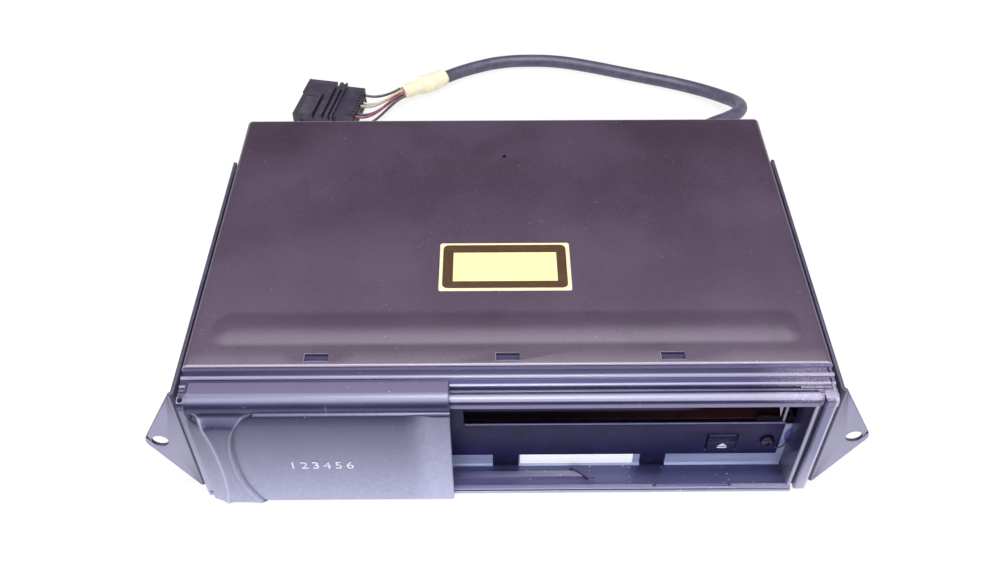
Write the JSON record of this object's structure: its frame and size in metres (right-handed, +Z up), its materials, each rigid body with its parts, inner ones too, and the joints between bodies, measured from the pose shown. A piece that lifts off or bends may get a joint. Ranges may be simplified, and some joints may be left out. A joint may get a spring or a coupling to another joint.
{
  "type": "car CD changer",
  "caption": "Car disc changer: a flat steel case with a sliding front door over a magazine slot, two bolt-on ears, a lift that carries the player to each disc, and a short cable.",
  "frame": {"origin": "under the middle of the case with its door grip and ears, without the cable, at the underside of the bottom plate", "axes": "+Z up, -Y out of the slotted front, +X to the right seen from the front"},
  "size_m": [0.2922, 0.3268, 0.0659],
  "materials": {
    "black_steel": "textured satin",
    "zinc_steel": "zinc plated, smooth",
    "bright_steel": "bright",
    "black_moulding": "fine grain",
    "dark_moulding": "satin",
    "white_moulding": "smooth",
    "soft_rubber": "matt",
    "board_green": "lacquered",
    "lens_glass": "clear",
    "paper_tape": "matt, creased",
    "wire_brown": "smooth",
    "wire_red": "smooth",
    "wire_violet": "smooth",
    "wire_yellow": "smooth",
    "wire_white": "smooth",
    "wire_black": "smooth"
  },
  "bodies": {
    "case": {"top_cover": "black_steel", "base_pan": "zinc_steel", "front_bezel": "black_moulding", "bracket_left": "black_steel", "bracket_right": "black_steel", "bracket_screw_left_front": "black_steel", "bracket_screw_left_rear": "black_steel", "bracket_screw_right_front": "black_steel", "bracket_screw_right_rear": "black_steel", "slot_panel": "dark_moulding", "panel_screw": "bright_steel", "loader_chassis": "zinc_steel", "magazine_cage": "zinc_steel", "lever_pin": "bright_steel", "main_board": "board_green", "lift_motor": "bright_steel", "motor_cradle": "dark_moulding", "cable_grommet": "soft_rubber", "cable": "soft_rubber", "tape_wrap": "paper_tape", "wire_brown": "wire_brown", "wire_red": "wire_red", "wire_violet": "wire_violet", "wire_yellow": "wire_yellow", "wire_white": "wire_white", "wire_black": "wire_black", "plug_housing": "dark_moulding", "plug_body": "dark_moulding"},
    "door_outer": {"door_outer": "black_moulding"},
    "door_inner": {"door_inner": "dark_moulding"},
    "eject_button": {"eject_button": "black_moulding"},
    "eject_lever": {"eject_lever": "white_moulding"},
    "elevator": {"elevator_plate": "zinc_steel", "spindle_motor": "bright_steel", "guide_rod": "bright_steel", "sled_motor": "bright_steel", "clamp_pin": "bright_steel"},
    "ramp_slide_left": {"ramp_slide_left": "zinc_steel"},
    "ramp_slide_right": {"ramp_slide_right": "zinc_steel"},
    "drive_gear": {"drive_gear": "white_moulding"},
    "motor_pinion": {"motor_pinion": "white_moulding"},
    "turntable": {"turntable": "white_moulding"},
    "clamp_arm": {"clamp_arm": "zinc_steel"},
    "clamp_puck": {"clamp_puck": "dark_moulding"},
    "pickup_sled": {"pickup_sled": "dark_moulding", "pickup_lens": "lens_glass"},
    "lead_screw": {"lead_screw": "bright_steel"}
  },
  "joints": [
    {"name": "door_slide", "type": "slide", "parent": "case", "child": "door_outer", "axis": [1, 0, 0], "range_m": [0, 0.1429]},
    {"name": "door_follow", "type": "slide", "parent": "case", "child": "door_inner", "axis": [1, 0, 0], "range_m": [0, 0.059]},
    {"name": "eject_press", "type": "slide", "parent": "case", "child": "eject_button", "axis": [0, 1, 0], "range_m": [0, 0.0022], "stiffness_N_per_m": 250, "springref_m": -0.002},
    {"name": "lever_swing", "type": "hinge", "parent": "case", "child": "eject_lever", "pos_m": [0.0761, -0.0639, 0.0182], "axis": [0, 0, 1], "range_deg": [0, 9.5]},
    {"name": "elevator_lift", "type": "slide", "parent": "case", "child": "elevator", "axis": [0, 0, 1], "range_m": [0, 0.02]},
    {"name": "ramp_left_slide", "type": "slide", "parent": "case", "child": "ramp_slide_left", "axis": [0, 1, 0], "range_m": [0, 0.024]},
    {"name": "ramp_right_slide", "type": "slide", "parent": "case", "child": "ramp_slide_right", "axis": [0, 1, 0], "range_m": [0, 0.024]},
    {"name": "gear_turn", "type": "hinge", "parent": "case", "child": "drive_gear", "pos_m": [-0.1207, 0.0428, 0.04], "axis": [1, 0, 0], "range_deg": [0, 152.9]},
    {"name": "pinion_turn", "type": "hinge", "parent": "case", "child": "motor_pinion", "pos_m": [-0.1207, 0.0569, 0.04513], "axis": [1, 0, 0], "range_deg": [-229.3, 0]},
    {"name": "turntable_spin", "type": "hinge", "parent": "elevator", "child": "turntable", "pos_m": [-0.06, 0.0033, 0.0325], "axis": [0, 0, 1], "continuous": true},
    {"name": "clamp_open", "type": "hinge", "parent": "elevator", "child": "clamp_arm", "pos_m": [-0.06, 0.06805, 0.0373], "axis": [-1, 0, 0], "range_deg": [0, 3]},
    {"name": "clamp_spin", "type": "hinge", "parent": "clamp_arm", "child": "clamp_puck", "pos_m": [-0.06, 0.0033, 0.034], "axis": [0, 0, 1], "continuous": true},
    {"name": "sled_slide", "type": "slide", "parent": "elevator", "child": "pickup_sled", "axis": [0, -1, 0], "range_m": [0, 0.033]},
    {"name": "screw_turn", "type": "hinge", "parent": "elevator", "child": "lead_screw", "pos_m": [-0.08, -0.0067, 0.0236], "axis": [0, 1, 0], "range_deg": [0, 3960.1]}
  ],
  "couplings": [
    {"joint": "door_follow", "follows": "door_slide", "ratio": 0.41218},
    {"joint": "lever_swing", "follows": "eject_press", "rad_per_m": 75},
    {"joint": "ramp_left_slide", "follows": "elevator_lift", "ratio": 1.2},
    {"joint": "ramp_right_slide", "follows": "elevator_lift", "ratio": 1.2},
    {"joint": "gear_turn", "follows": "elevator_lift", "rad_per_m": 133.33},
    {"joint": "pinion_turn", "follows": "elevator_lift", "rad_per_m": -200},
    {"joint": "clamp_spin", "follows": "turntable_spin", "ratio": 1},
    {"joint": "screw_turn", "follows": "sled_slide", "rad_per_m": 2094.4}
  ]
}
